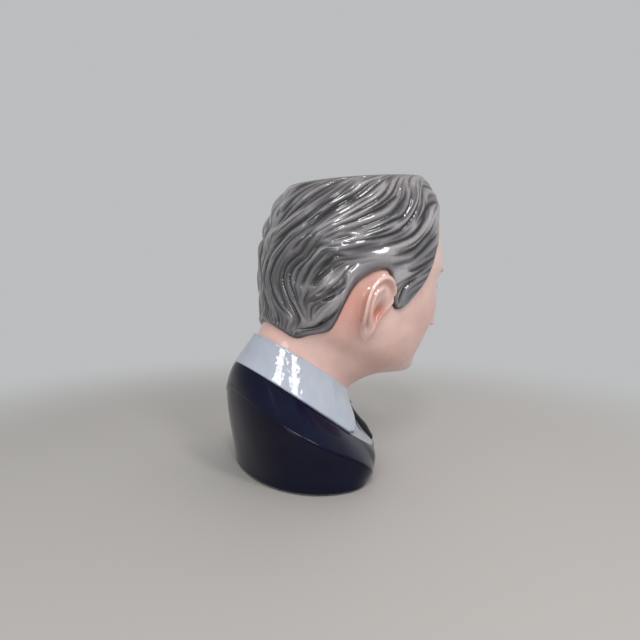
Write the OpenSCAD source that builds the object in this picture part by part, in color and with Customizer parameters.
// Character jug: a hollow glazed bust that is open at the crown of its hair.
// Its pieces are the parts that are formed one by one and luted together. They are
// cut from one lofted skin, so each pair of neighbours meets face to face.
// +X is the figure's left, -Y its front, +Z up. The origin is the middle of the foot.

/* [Overall] */
// Height from the table to the front of the rim
jug_height = 181; // [174:1:188]
// Thickness of the clay wall
wall = 4; // [3:0.25:5]
// Thickness of the floor inside the bust
floor_thickness = 5; // [4:0.25:6]

/* [Foot] */
// Height of the bare foot below the glazed coat
foot_height = 1; // [0.8:0.1:2]
// Distance that the foot is set in from the coat's lower edge
foot_inset = 2.5; // [2:0.25:5]

/* [Coat] */
// Width of the coat at its lower edge
coat_width = 112; // [106:1:118]
// Reach of the lower edge in front of the middle
coat_front = 36; // [33:0.5:39]
// Reach of the lower edge behind the middle
coat_back = 41.5; // [39:0.5:44]
// Outward swell of the coat at the back of the shoulders
shoulder_swell = 5; // [3:0.5:8]
// Width of the coat's neck opening
opening_width = 76; // [72:1:82]
// Reach of the neck opening in front of the middle
opening_front = 41; // [39:0.5:43]
// Reach of the neck opening behind the middle
opening_back = 43; // [41:0.5:46]
// Height of the neck opening over the middle of the foot
opening_height = 35; // [33:0.5:37]
// Rise of the neck opening for each millimetre towards the back
opening_slope = 0.76; // [0.7:0.01:0.8]
// Height of the neck opening at the front
opening_front_height = 9; // [8:0.5:11]
// Height of the lapel band
lapel_depth = 15.6; // [13:0.2:18]
// Thickness of the lapels
lapel_thickness = 2; // [1.5:0.1:2.5]

/* [Shirt] */
// Width of the neck where it leaves the collar
neck_width = 50; // [46:1:54]
// Thickness of the collar
collar_thickness = 2.2; // [1.6:0.1:2.6]
// Height that the collar stands above the foot of the neck
collar_lip = 1.5; // [1:0.1:2]
// Angle from the front to each collar point
collar_spread = 69; // [62:1:72]
// Angle from the front to the collar's edges at the neck
collar_gap = 20; // [16:1:24]
// Depth of the hollow in the shirt front beside the tie
shirt_hollow = 3; // [0:0.25:3.5]
// Width of the tie at its lower end
tie_width = 17; // [14:0.5:20]
// Thickness of the tie's blade
tie_thickness = 5; // [3.5:0.25:5.5]
// Width of the knot at its top
knot_width = 15; // [12:0.5:16]
// Width of the knot at its foot, and of the blade under it
knot_foot_width = 10; // [8:0.5:12]
// Height of the knot
knot_height = 9; // [7:0.5:11]
// Thickness of the knot
knot_thickness = 6; // [4.5:0.25:6.5]

/* [Head] */
// Width of the head without hair
head_width = 94; // [90:1:98]
// Depth of the head from forehead to back, without hair
head_depth = 115; // [111:1:119]
// Forward tilt of the face
face_tilt = 16; // [12:1:20]
// Height of the nose above the face
nose_height = 15; // [12:0.5:17]
// Depth of the eye sockets
socket_depth = 6.5; // [5:0.25:7.5]
// Height of the brow ridge
brow_height = 3; // [2:0.25:4]
// Fullness of the lips
lip_fullness = 3.6; // [2.6:0.1:4.2]

/* [Hair] */
// Thickness of the hair over the head
hair_lift = 3; // [2.5:0.1:4]
// Height of the broad locks
lock_height = 1.3; // [0.6:0.1:1.5]

/* [Ears] */
// Length of an ear
ear_length = 38; // [34:1:42]
// Width of an ear
ear_width = 25; // [22:0.5:27]
// Distance that the back of an ear stands out from the head
ear_reach = 13; // [11:0.5:15]
// Forward lean of the ears
ear_lean = 16; // [12:1:20]

/* [Handle] */
// Room for fingers between the ear and the handle
finger_room = 17; // [14:0.5:24]
// Width of the handle, front to back
handle_width = 13; // [11:0.5:15]
// Thickness of the handle, across the loop
handle_thickness = 10; // [8:0.5:12]

/* [Hidden] */

skin_colour = "#e6b7a1";
hair_colour = "#6b6663";
coat_colour = "#1b2138";
shirt_colour = "#c3c9d4";
tie_colour = "#17171c";
clay_colour = "#e3dccd";

// Columns run round the jug from the front through the figure's left, closer together over the face
columns = 64;
half = columns / 2;
front_crowding = 24;
tie_columns = 6;
lapel_column = 4;

// Stations of the head's skin from the neck to the rim, in the proportions of a jug of these sizes
table_height = 181;
table_depth = 115;
table_width = 94;
// [back y, back z, front y, front z, half width, centre from back, front fullness, back fullness, inner rise]
head_table = [
    [31.5, 83, -25, 43, 25, 0.50, 2.0, 2.0, 0],
    [29, 87.5, -30, 48.5, 26.5, 0.50, 2.0, 2.0, 0.5],
    [26, 92.5, -46, 53.5, 30.5, 0.46, 2.0, 2.1, 1],
    [24.5, 98, -70, 54.5, 37.5, 0.46, 1.75, 2.2, 1],
    [24.3, 103.5, -76, 61, 41, 0.46, 1.85, 2.2, 0.5],
    [24.6, 110, -80, 70, 43.5, 0.46, 1.95, 2.2, 0],
    [25, 116, -83.5, 79, 44.5, 0.46, 2.0, 2.2, 0],
    [25, 122, -86.5, 88, 45.5, 0.46, 2.1, 2.2, 0],
    [24.5, 128, -89.5, 98, 46, 0.46, 2.2, 2.2, 0],
    [23.5, 134, -91.5, 110, 46.5, 0.47, 2.3, 2.2, 0],
    [22, 141, -93.5, 123, 47, 0.47, 2.3, 2.2, 0],
    [20, 148, -94, 136.5, 46.5, 0.48, 2.2, 2.2, 0],
    [17, 156, -92.5, 150, 45, 0.49, 2.2, 2.2, 0],
    [13, 164.5, -88.5, 163.5, 42.5, 0.50, 2.2, 2.2, 0],
    [7.5, 171.5, -81, 176, 38.5, 0.50, 2.1, 2.1, 0],
    [5, 174, -77, 181, 36, 0.50, 2.1, 2.1, 0]];
neck_stations = 3;
rim = len(head_table) - 1;

// Hairline: angle from the front, station. Sideburn at 75, over the ear at 91, nape from 127
hairline_table = [[0, 12.4], [20, 12.35], [37, 12.25], [43, 11.65], [47, 10.9], [52, 9.7], [59, 8.45],
    [65, 7.55], [70, 6.9], [75, 6.55], [80, 6.7], [84, 7.4], [87, 8.6], [91, 9.05], [100, 8.85],
    [106, 8.4], [111, 7.5], [115, 6.2], [118, 4.9], [122, 3.6], [127, 2], [131, 1.6], [138, 1.5],
    [152, 1.6], [165, 1.65], [180, 1.9]];
// Angle to each side over which the inside smooths that line
edge_blend = 18;

// Rows of each skin, and the crowding of the face's rows between chin and brow
face_rows = 31;
face_crowding = 0.4;
hair_rows = 18;
face_inner_rows = 4;
hair_inner_rows = 2;
inner_crowding = 1.6;
wall_rows = 5;
band_rows = 4;
edge_round = 1.2;
lip_round = 1.2;
shirt_heights = [0, 0.05, 0.36, 0.68, 1];

// Plain working functions
function mix(a, b, u) = a + (b - a) * u;
function bell(x, width) = exp(-x * x / (2 * width * width));
function clamp(x, low, high) = max(low, min(high, x));
function ease(x, low, high) = let (u = clamp((x - low) / (high - low), 0, 1)) u * u * (3 - 2 * u);
function soft_max(a, b, blend) = (a + b + sqrt((a - b) * (a - b) + blend * blend)) / 2;
function flat(lists) = [for (list = lists) for (item = list) item];
function middle(points) = [for (k = [0:2]) sum([for (p = points) p[k]]) / len(points)];
function sum(values, k = 0) = k < len(values) ? values[k] + sum(values, k + 1) : 0;
function unit(v) = v / norm(v);
function oval(angle, front, back, side, front_power, back_power) =
    let (ahead = cos(angle) > 0, power = ahead ? front_power : back_power)
    pow(pow(abs(cos(angle)) / (ahead ? front : back), power)
        + pow(abs(sin(angle)) / side, power), -1 / power);
function polar(r, angle, z) = [r * sin(angle), -r * cos(angle), z];
function curve(p, t) =
    let (last = len(p) - 1, i = min(floor(t), last - 1), f = t - i,
        a = p[max(i - 1, 0)], b = p[i], c = p[i + 1], d = p[min(i + 2, last)])
    (2 * b + (c - a) * f + (2 * a - 5 * b + 4 * c - d) * f * f + (3 * b - a - 3 * c + d) * f * f * f) / 2;

function column_angle(j) = let (even = 360 * j / columns) even - front_crowding * sin(even);
function from_front(angle) = abs(angle > 180 ? 360 - angle : angle);
angles = [for (j = [0:columns - 1]) column_angle(j)];

// Coat: lower edge, crease below the lapel band, and neck opening
function coat_r(angle) = oval(angle, coat_front, coat_back, coat_width / 2, 2.2, 2.2);
function opening_r(angle) = oval(angle, opening_front, opening_back, opening_width / 2, 2, 2);
function opening_z(angle) =
    soft_max(opening_height - opening_slope * opening_r(angle) * cos(angle), opening_front_height, 6);
function crease_z(angle) = soft_max(opening_z(angle) - lapel_depth, foot_height + 2, 3);
function crease_r(angle) = coat_r(angle) + shoulder_swell * crease_z(angle) / crease_z(180);
function opening_point(angle) = polar(opening_r(angle), angle, opening_z(angle));
function wall_point(u, angle) =
    let (low = foot_height + edge_round)
    polar(mix(coat_r(angle), crease_r(angle), pow(sin(90 * u), 1.2)), angle, mix(low, crease_z(angle), u));
// Half way between a straight slope and a quarter round, pushed out by the lapel's thickness
function band_point(u, angle, out = 0) =
    let (r = mix(crease_r(angle), opening_r(angle), (u + 1 - cos(90 * u)) / 2),
        z = mix(crease_z(angle), opening_z(angle), (u + sin(90 * u)) / 2),
        lean = mix(20, 42, min(1, 2 * u)))
    polar(r + out * cos(lean), angle, z + out * sin(lean));
// The seat of the shirt slopes down inwards at the back, and runs level at the low front
function coat_inside(u, angle) =
    let (ahead = (1 + cos(angle)) / 2, floor_z = foot_height + floor_thickness,
        top_z = opening_z(angle) - wall * mix(0.75, 0.1, ahead),
        rise = (crease_z(angle) - foot_height) / (opening_z(angle) - foot_height),
        crease = [crease_r(angle) - wall, mix(floor_z, top_z, rise)],
        top = [opening_r(angle) - wall * mix(0.8, 1.4, ahead), top_z],
        foot = [coat_r(angle) - wall - edge_round, floor_z],
        p = u < 1 ? mix(foot, crease, u) : mix(crease, top, u - 1))
    polar(p[0], angle, p[1]);
function opening_inside(angle) = coat_inside(2, angle);

// Head: sections through the stations
function scaled(s, k) =
    let (deep = head_depth / table_depth, high = jug_height / table_height, wide = head_width / table_width,
        share = clamp(k / neck_stations, 0, 1))
    [s[0] * deep, s[1] * high, s[2] * deep, s[3] * high,
        mix(s[4] * neck_width / (2 * head_table[0][4]), s[4] * wide, share), s[5], s[6], s[7]];
stations = [for (k = [0:rim]) scaled(head_table[k], k)];
function hollowed(s, rise) =
    let (run = unit([s[2] - s[0], s[3] - s[1]]) * wall)
    [s[0] + run[0], s[1] + run[1], s[2] - run[0], s[3] - run[1] + rise, s[4] - wall, s[5], s[6], s[7]];
hollow = [for (k = [0:rim]) hollowed(stations[k], head_table[k][8] * wall)];
function section(table, t, angle, out = 0) =
    let (s = curve(table, t), back = [s[0], s[1]], run = [s[2], s[3]] - back, long = norm(run),
        r = oval(angle, long * (1 - s[5]), long * s[5], s[4], s[6], s[7]) + out,
        p = back + run * (s[5] + r * cos(angle) / long))
    [r * sin(angle), p[0], p[1]];
function head_inside(t, angle) = section(hollow, t, angle);
function hairline(angle) = lookup(from_front(angle), hairline_table);
function mean_hairline(a) = (hairline(a - edge_blend) + hairline(a) + hairline(a + edge_blend)) / 3;
function inner_share(i, rows) = pow(i / rows, inner_crowding);

// Face levels, along its own tilted upright, by thirds from chin to hairline
function level(p) = p[2] * cos(face_tilt) - p[1] * sin(face_tilt);
face_out = [0, -cos(face_tilt), -sin(face_tilt)];
chin_level = level(section(stations, neck_stations, 0));
crown_level = level(section(stations, rim, 0));
third = (level(section(stations, hairline(0), 0)) - chin_level) / 3;
nose_level = chin_level + third;
brow_level = chin_level + 2 * third;
eye_level = (chin_level + crown_level) / 2;
mouth_level = nose_level - third / 3;
eye_x = head_width / 5;

function nose(x, h) =
    let (tip = nose_level + 4, bridge = brow_level - 2,
        height = nose_height * lookup(h, [[nose_level - 4, 0], [nose_level - 1, 0.5], [tip, 1],
            [mix(tip, bridge, 0.5), 0.6], [bridge, 0.2], [bridge + 5, 0]]),
        width = lookup(h, [[nose_level - 2, 7.5], [tip + 1, 6.5], [mix(tip, bridge, 0.4), 5], [bridge, 4]]))
    height * bell(x, width) + 0.27 * nose_height * bell(abs(x) - 9, 3.2) * bell(h - nose_level - 3, 4);
function eye(x, h) =
    let (side = abs(x) - eye_x)
    socket_depth * (0.85 * bell(side, 6) * bell(h - eye_level, 3.4)
        - bell(side + 1, 10) * bell(h - eye_level + 1, 6.5))
    + brow_height * bell(side + 1.5, 12) * bell(h - brow_level, 4);
function mouth(x, h) =
    let (d = h - mouth_level)
    lip_fullness * (0.9 * bell(d - 2.8, 2.2) * bell(x, 11) + bell(d + 3, 2.6) * bell(x, 10)
        - 0.45 * bell(d, 1.6) * bell(x, 14) - 0.5 * bell(d + 8.5, 3) * bell(x, 12));
cheek_height = 2.5;
cheek_x = 27;
cheek_rise = 6;
cheek_size = 10;
function cheeks(x, h) =
    cheek_height * bell(abs(x) - cheek_x, cheek_size) * bell(h - nose_level - cheek_rise, cheek_size);
chin_height = 3.5;
chin_rise = 5;
chin_size = [10, 5.5];
function chin(x, h) = chin_height * bell(x, chin_size[0]) * bell(h - chin_level - chin_rise, chin_size[1]);
function features(p) =
    let (x = p[0], h = level(p), ahead = clamp((-p[1] - 45) / 15, 0, 1))
    ahead <= 0 ? 0 : ahead * (nose(x, h) + eye(x, h) + mouth(x, h) + cheeks(x, h) + chin(x, h));
function face_point(t, angle) = let (p = section(stations, t, angle)) p + face_out * features(p);
function face_share(i) = let (v = i / face_rows) v + face_crowding * sin(360 * v) / (2 * PI);
function face_grid(i, j) = face_point(hairline(angles[j]) * face_share(i), angles[j]);

// Hair: broad locks that run back and down from the forehead. At the turn, a station at the back of the
// head, they hang straight, and below it they curl forward and part from those that come from the ear.
lock_pitch = 2;
lock_sweep = 0.07;
lock_turn = 6.2;
lock_curl = 0.14;
lock_fall = 0.6;
parting = [130, 150];
function lock_phase(t, a) =
    let (d = t - lock_turn, straight = 1 / (2 * lock_curl), curl = lock_curl * d * d,
        share = clamp((a - parting[0]) / (parting[1] - parting[0]), 0, 1))
    lock_sweep * a + (d < 0 ? mix(lock_fall * d, curl, share) : d < straight ? curl : d - straight / 2);
function lock(t, angle) =
    let (a = from_front(angle), rise = clamp((t - mean_hairline(a)) / 2.5, 0, 1),
        calm = clamp((rim - t) / 1.5, 0, 1))
    lock_height * rise * calm * sin(360 * lock_phase(t, a) / lock_pitch);
function hair_point(t, angle, share = 1) = section(stations, t, angle, share * (hair_lift + lock(t, angle)));
// Its edge is rounded over: [distance in from the hairline, share of the hair's thickness]
hair_edge = [[0, 0.3], [0.8, 0.72], [2.2, 1]];
edge_rows = len(hair_edge) - 1;
// Millimetres of skin for a station and for a degree, and degrees over which the hairline's slope is taken
station_rise = 7.5;
degree_width = 0.8;
slope_run = 6;
function edge_station(k, angle) =
    let (climb = hairline(angle + slope_run / 2) - hairline(angle - slope_run / 2),
        slope = climb * station_rise / (slope_run * degree_width))
    hairline(angle) + hair_edge[k][0] * norm([1, slope]) / station_rise;
function hair_grid(i, j) =
    i < edge_rows ? hair_point(edge_station(i, angles[j]), angles[j], hair_edge[i][1])
    : hair_point(mix(edge_station(edge_rows, angles[j]), rim, (i - edge_rows) / hair_rows), angles[j]);

// Shirt: straight from the coat's opening up to the neck, hollowed on each side of the tie
hollow_angle = 28;
hollow_fade = 14;
function sunk(v, angle) =
    let (fade = bell(max(0, from_front(angle) - hollow_angle), hollow_fade))
    polar(-shirt_hollow * sin(180 * v) * fade, angle, 0);
function shirt_point(v, angle) = mix(opening_point(angle), section(stations, 0, angle), v) + sunk(v, angle);
function shirt_inside(v, angle) = mix(opening_inside(angle), head_inside(0, angle), v) + sunk(v, angle);
function raised(v, angle, out) = shirt_point(v, angle) + polar(0.87 * out, angle, 0.5 * out);

// A quad of a skin as two triangles, clockwise from outside, mirrored between the jug's two sides
function turned(j) = (j + columns) % columns >= half;
function quad(a, b, c, d, turn) = turn ? [[a, b, d], [b, c, d]] : [[a, b, c], [a, c, d]];
function under(a, b, c, d, turn) = turn ? [[a, d, b], [b, d, c]] : [[a, c, b], [a, d, c]];
function ring(f) = [for (a = angles) f(a)];

// A hollow ring of clay: rings of points up the outside and down the inside, each tied to the next.
// The seat's strip, and the first strips of a swept skin, are split along the other diagonal.
module ring_wall(rings, seat, swept = 0) {
    count = len(rings);
    polyhedron(flat(rings), flat([for (i = [0:count - 1]) for (j = [0:columns - 1])
        let (low = i * columns, high = ((i + 1) % count) * columns, k = (j + 1) % columns,
            other = i == seat || i < swept)
        quad(low + j, high + j, high + k, low + k, other != turned(j))]), convexity = 8);
}

// A band that lies on a skin: rings up its inner face and down its outer face
module lining(rings) {
    count = len(rings);
    polyhedron(flat(rings), flat([for (i = [0:count - 1]) for (j = [0:columns - 1])
        let (low = i * columns, high = ((i + 1) % count) * columns, k = (j + 1) % columns)
        under(low + j, high + j, high + k, low + k, turned(j))]), convexity = 8);
}

// A cup: rings up the outside and down the inside, with a flat bottom and a flat floor
module cup(rings) {
    count = len(rings);
    bottom = count * columns;
    points = concat(flat(rings), [middle(rings[0]), middle(rings[count - 1])]);
    last = (count - 1) * columns;
    polyhedron(points, concat(
        flat([for (i = [0:count - 2]) for (j = [0:columns - 1])
            let (low = i * columns, high = low + columns, k = (j + 1) % columns)
            quad(low + j, high + j, high + k, low + k, turned(j))]),
        [for (j = [0:columns - 1]) [bottom, j, (j + 1) % columns]],
        [for (j = [0:columns - 1]) [bottom + 1, last + (j + 1) % columns, last + j]]), convexity = 8);
}

// A relief that lies on a skin: its lower rows are the skin's own points
module relief(lower, upper, first_column) {
    rows = len(lower) - 1;
    cols = len(lower[0]) - 1;
    wide = cols + 1;
    top = (rows + 1) * wide;
    spots = [for (r = [0:rows - 1]) for (c = [0:cols - 1]) [r * wide + c, turned(first_column + c)]];
    polyhedron(concat(flat(lower), flat(upper)), concat(
        flat([for (s = spots) let (a = s[0] + top) quad(a, a + wide, a + wide + 1, a + 1, s[1])]),
        flat([for (s = spots) let (a = s[0]) under(a, a + wide, a + wide + 1, a + 1, s[1])]),
        flat([for (c = [0:cols - 1]) quad(c, c + top, c + top + 1, c + 1, false)]),
        flat([for (c = [0:cols - 1]) let (a = rows * wide + c) quad(a + 1, a + top + 1, a + top, a, false)]),
        flat([for (r = [0:rows - 1]) let (a = r * wide) quad(a + wide, a + wide + top, a + top, a, false)]),
        flat([for (r = [0:rows - 1]) let (a = r * wide + cols)
            quad(a, a + top, a + wide + top, a + wide, false)])), convexity = 6);
}

// The edge of a patch of skin, anticlockwise from outside, as [row, column]
function patch_edge(rows, cols) = concat([for (c = [0:cols]) [0, c]], [for (r = [1:rows]) [r, cols]],
    [for (c = [cols - 1:-1:0]) [rows, c]], [for (r = [rows - 1:-1:1]) [r, 0]]);
function patch_angle(s, rows, cols) = atan2(2 * s[0] / rows - 1, 2 * s[1] / cols - 1);
function patch_faces(first, rows, cols, swept = false) = let (wide = cols + 1)
    flat([for (r = [0:rows - 1]) for (c = [0:cols - 1]) let (a = first + r * wide + c)
        under(a, a + wide, a + wide + 1, a + 1, swept)]);
// Joins loops of vertex numbers that follow one another outwards
function loop_faces(loops) = flat([for (k = [0:len(loops) - 2]) for (i = [0:len(loops[0]) - 1])
    let (low = loops[k], high = loops[k + 1], n = (i + 1) % len(low))
    quad(low[i], high[i], high[n], low[n], false)]);

module foot() {
    color(clay_colour) linear_extrude(foot_height)
        polygon([for (a = angles) let (p = polar(coat_r(a) - foot_inset, a, 0)) [p[0], p[1]]]);
}

function coat_rows() = concat([for (i = [1:wall_rows]) ring(function(a) wall_point(i / wall_rows, a))],
    [for (i = [1:band_rows]) ring(function(a) band_point(i / band_rows, a))]);

module jacket_body() {
    color(coat_colour) cup(concat(
        [ring(function(a) polar(coat_r(a) - edge_round, a, foot_height)), ring(function(a) wall_point(0, a))],
        coat_rows(), [for (u = [2, 1.5, 1, 0]) ring(function(a) coat_inside(u, a))]));
}

// Share of the lapel's thickness, thinned towards the front
function lapel_share(angle) = ease(angle, angles[lapel_column], angles[lapel_column] + 45);

module lapel() {
    lower = [for (i = [0:band_rows]) [for (j = [lapel_column:half]) band_point(i / band_rows, angles[j])]];
    upper = [for (i = [0:band_rows]) [for (j = [lapel_column:half])
        band_point(i / band_rows, angles[j], lapel_thickness * mix(0.35, 1, lapel_share(angles[j])))]];
    color(coat_colour) relief(lower, upper, lapel_column);
}
module lapel_left() { lapel(); }
module lapel_right() { mirror([1, 0, 0]) lapel(); }

module shirt_body() {
    outside = [for (v = shirt_heights) ring(function(a) shirt_point(v, a))];
    inside = [for (v = [1, 0.5, 0]) ring(function(a) shirt_inside(v, a))];
    rings = concat(outside, inside);
    color(shirt_colour) ring_wall(rings, len(rings) - 1);
}

// A prism along the front-to-back direction, from an outline seen from the front
module seen_from_front(outline) {
    rotate([90, 0, 0]) linear_extrude(2 * opening_front) polygon(outline);
}
function across(p) = [p[0], p[2]];
function both_sides(points) =
    concat(points, [for (i = [len(points) - 1:-1:0]) [-points[i][0], points[i][1]]]);

// Collar: a closed band round the neck, with its straight front edges cut from the knot out to the points
module shirt_collar() {
    rows = [for (i = [1:len(shirt_heights) - 1]) shirt_heights[i]];
    band = concat([for (v = rows) ring(function(a) shirt_point(v, a))],
        [ring(function(a) shirt_point(1, a) + polar(0.95 * collar_thickness, a, collar_lip))],
        [for (i = [len(rows) - 2:-1:0]) ring(function(a) raised(rows[i], a, collar_thickness))]);
    neck_end = across(shirt_point(1, collar_gap));
    point = across(shirt_point(rows[0], collar_spread));
    edge = unit(point - neck_end);
    high = neck_end - edge * neck_end[0] * 0.6;
    low = point + edge * collar_thickness;
    color(shirt_colour) difference() {
        lining(band);
        seen_from_front(both_sides([[low[0], 0], low, high]));
    }
}

// Tie: a band up the shirt front, rounded over from side to side, trimmed to the outline of each piece
knot_top = section(stations, 0, 0)[2];
knot_foot = knot_top - knot_height;
module tie_piece(thickness, outline) {
    spread = [for (j = [-tie_columns:tie_columns]) column_angle(j)];
    last = len(shirt_heights) - 1;
    function swell(i, a) =
        thickness * (i == last ? 0.6 : 1) * mix(0.4, 1, cos(90 * a / spread[2 * tie_columns]));
    color(tie_colour) intersection() {
        relief([for (v = shirt_heights) [for (a = spread) shirt_point(v, a)]],
            [for (i = [0:last]) [for (a = spread) raised(shirt_heights[i], a, swell(i, a))]],
            columns - tie_columns);
        seen_from_front(outline);
    }
}
module tie_knot() {
    tie_piece(knot_thickness, both_sides([[knot_foot_width / 2, knot_foot], [knot_width / 2, knot_top],
        [knot_width / 2, knot_top + knot_height]]));
}
module tie_blade() {
    tie_piece(tie_thickness, both_sides([[tie_width / 2, 0], [tie_width / 2, opening_front_height],
        [knot_foot_width / 2, knot_foot]]));
}

module neck_and_face() {
    outside = [for (i = [0:face_rows]) [for (j = [0:columns - 1]) face_grid(i, j)]];
    inside = [for (i = [face_inner_rows:-1:0])
        ring(function(a) head_inside(mean_hairline(a) * inner_share(i, face_inner_rows), a))];
    rings = concat(outside, inside);
    color(skin_colour) ring_wall(rings, len(rings) - 1);
}

module hair() {
    outside = [for (i = [0:edge_rows + hair_rows]) [for (j = [0:columns - 1]) hair_grid(i, j)]];
    lip = ring(function(a) (hair_point(rim, a) + head_inside(rim, a)) / 2 + [0, 0, lip_round]);
    inside = [for (i = [hair_inner_rows:-1:0])
        ring(function(a) head_inside(mix(mean_hairline(a), rim, inner_share(i, hair_inner_rows)), a))];
    seat = ring(function(a) face_point(hairline(a), a));
    rings = concat(outside, [lip], inside, [seat]);
    color(hair_colour) ring_wall(rings, len(rings) - 2, edge_rows + hair_rows);
}

// Ear: a root on the face's skin, then loops of [share of outline, share of reach, step out]
ear_rows = [17, 27];
ear_columns = [20, 23];
ear_loops = [[0.62, 0.45, 0], [1, 0.95, 0], [1.02, 1, 1], [0.95, 1, 2.4], [0.8, 1, 2],
    [0.7, 1, 0.6], [0.52, 1, 1.2], [0.36, 0.9, 0.5]];
// Distance that the front of the ear stands out at the top and beside the lobe, where it is also narrower
ear_front_reach = 4;
lobe_front_reach = 2.6;
lobe_narrowing = 0.35;
ear_shift = 0.5;
ear_rise = 2;

module ear() {
    rows = ear_rows[1] - ear_rows[0];
    cols = ear_columns[1] - ear_columns[0];
    root = [for (i = [ear_rows[0]:ear_rows[1]]) for (j = [ear_columns[0]:ear_columns[1]]) face_grid(i, j)];
    spots = patch_edge(rows, cols);
    back = [0, cos(ear_lean), sin(ear_lean)];
    up = [0, -sin(ear_lean), cos(ear_lean)];
    centre = middle(root) + back * ear_shift + up * ear_rise;
    function around(s) =
        let (d = root[s[0] * (cols + 1) + s[1]] - middle(root))
        atan2(2 * d * up / ear_length, 2 * d * back / ear_width);
    function ear_point(a, share, reach, step) =
        let (low = ease(sin(a), 0.55, -0.35), front = mix(ear_front_reach, lobe_front_reach, low),
            narrow = cos(a) < 0 ? mix(1, lobe_narrowing, low) : 1,
            stand = mix(front, ear_reach, (1 + cos(a)) / 2) * (1 - 0.3 * max(0, -sin(a))))
        centre + back * (share * ear_width / 2 * cos(a) * (1 + 0.22 * sin(a)) * narrow)
            + up * (share * ear_length / 2 * sin(a)) + [reach * stand + step, 0, 0];
    shell = [for (k = ear_loops) [for (s = spots) ear_point(around(s), k[0], k[1], k[2])]];
    first = len(root);
    count = len(spots);
    deep = last_middle(shell);
    loops = concat([[for (s = spots) s[0] * (cols + 1) + s[1]]],
        [for (k = [0:len(shell) - 1]) [for (i = [0:count - 1]) first + k * count + i]]);
    inmost = loops[len(loops) - 1];
    color(skin_colour) polyhedron(concat(root, flat(shell), [deep]), concat(patch_faces(0, rows, cols),
        loop_faces(loops), [for (i = [0:count - 1])
            [first + len(shell) * count, inmost[(i + 1) % count], inmost[i]]]), convexity = 8);
}
function last_middle(shell) = middle(shell[len(shell) - 1]);
module ear_left() { ear(); }
module ear_right() { mirror([1, 0, 0]) ear(); }

// Handle: from a patch of the hair, out past the ear and down to a patch of the coat
handle_rows = 3;
handle_columns = 2;
handle_hair = [8, 20];
handle_coat = [0, 18];
handle_rings = 24;
handle_bow = 0.62;

module handle() {
    upper_root = [for (r = [0:handle_rows]) for (c = [0:handle_columns])
        hair_grid(handle_hair[0] + r, handle_hair[1] + c)];
    coat = coat_rows();
    lower_root = [for (r = [0:handle_rows]) for (c = [0:handle_columns])
        coat[handle_coat[0] + r][handle_coat[1] + c]];
    from = middle(upper_root);
    to = middle(lower_root);
    out_x = head_width / 2 + ear_reach + finger_room + handle_thickness / 2;
    spots = patch_edge(handle_rows, handle_columns);
    count = len(spots);
    // A loop that leaves both roots level and bows out between them
    function route(u) =
        let (line = mix(from, to, (1 - cos(180 * u)) / 2), bow = pow(sin(180 * u), handle_bow))
        line + [(out_x - (from[0] + to[0]) / 2) * bow, 0, 0];
    function route_ring(k) =
        let (u = k / handle_rings, step = 0.004,
            ahead = unit(route(min(u + step, 1)) - route(max(u - step, 0))),
            wide = unit([0, 1, 0] - ahead * ahead[1]), thick = cross(ahead, wide))
        [for (s = spots) let (a = patch_angle(s, handle_rows, handle_columns))
            route(u) + wide * (handle_width / 2 * cos(a)) + thick * (handle_thickness / 2 * sin(a))];
    bands = [for (k = [1:handle_rings - 1]) route_ring(k)];
    first = len(upper_root);
    second = first + len(bands) * count;
    wide = handle_columns + 1;
    loops = concat([[for (s = spots) s[0] * wide + s[1]]],
        [for (k = [0:len(bands) - 1]) [for (i = [0:count - 1]) first + k * count + i]],
        [[for (s = spots) second + (handle_rows - s[0]) * wide + s[1]]]);
    color(coat_colour) polyhedron(concat(upper_root, flat(bands), lower_root),
        concat(patch_faces(0, handle_rows, handle_columns, true), loop_faces(loops),
            patch_faces(second, handle_rows, handle_columns)), convexity = 8);
}

foot();
jacket_body();
lapel_left();
lapel_right();
shirt_body();
shirt_collar();
tie_knot();
tie_blade();
neck_and_face();
ear_left();
ear_right();
hair();
handle();
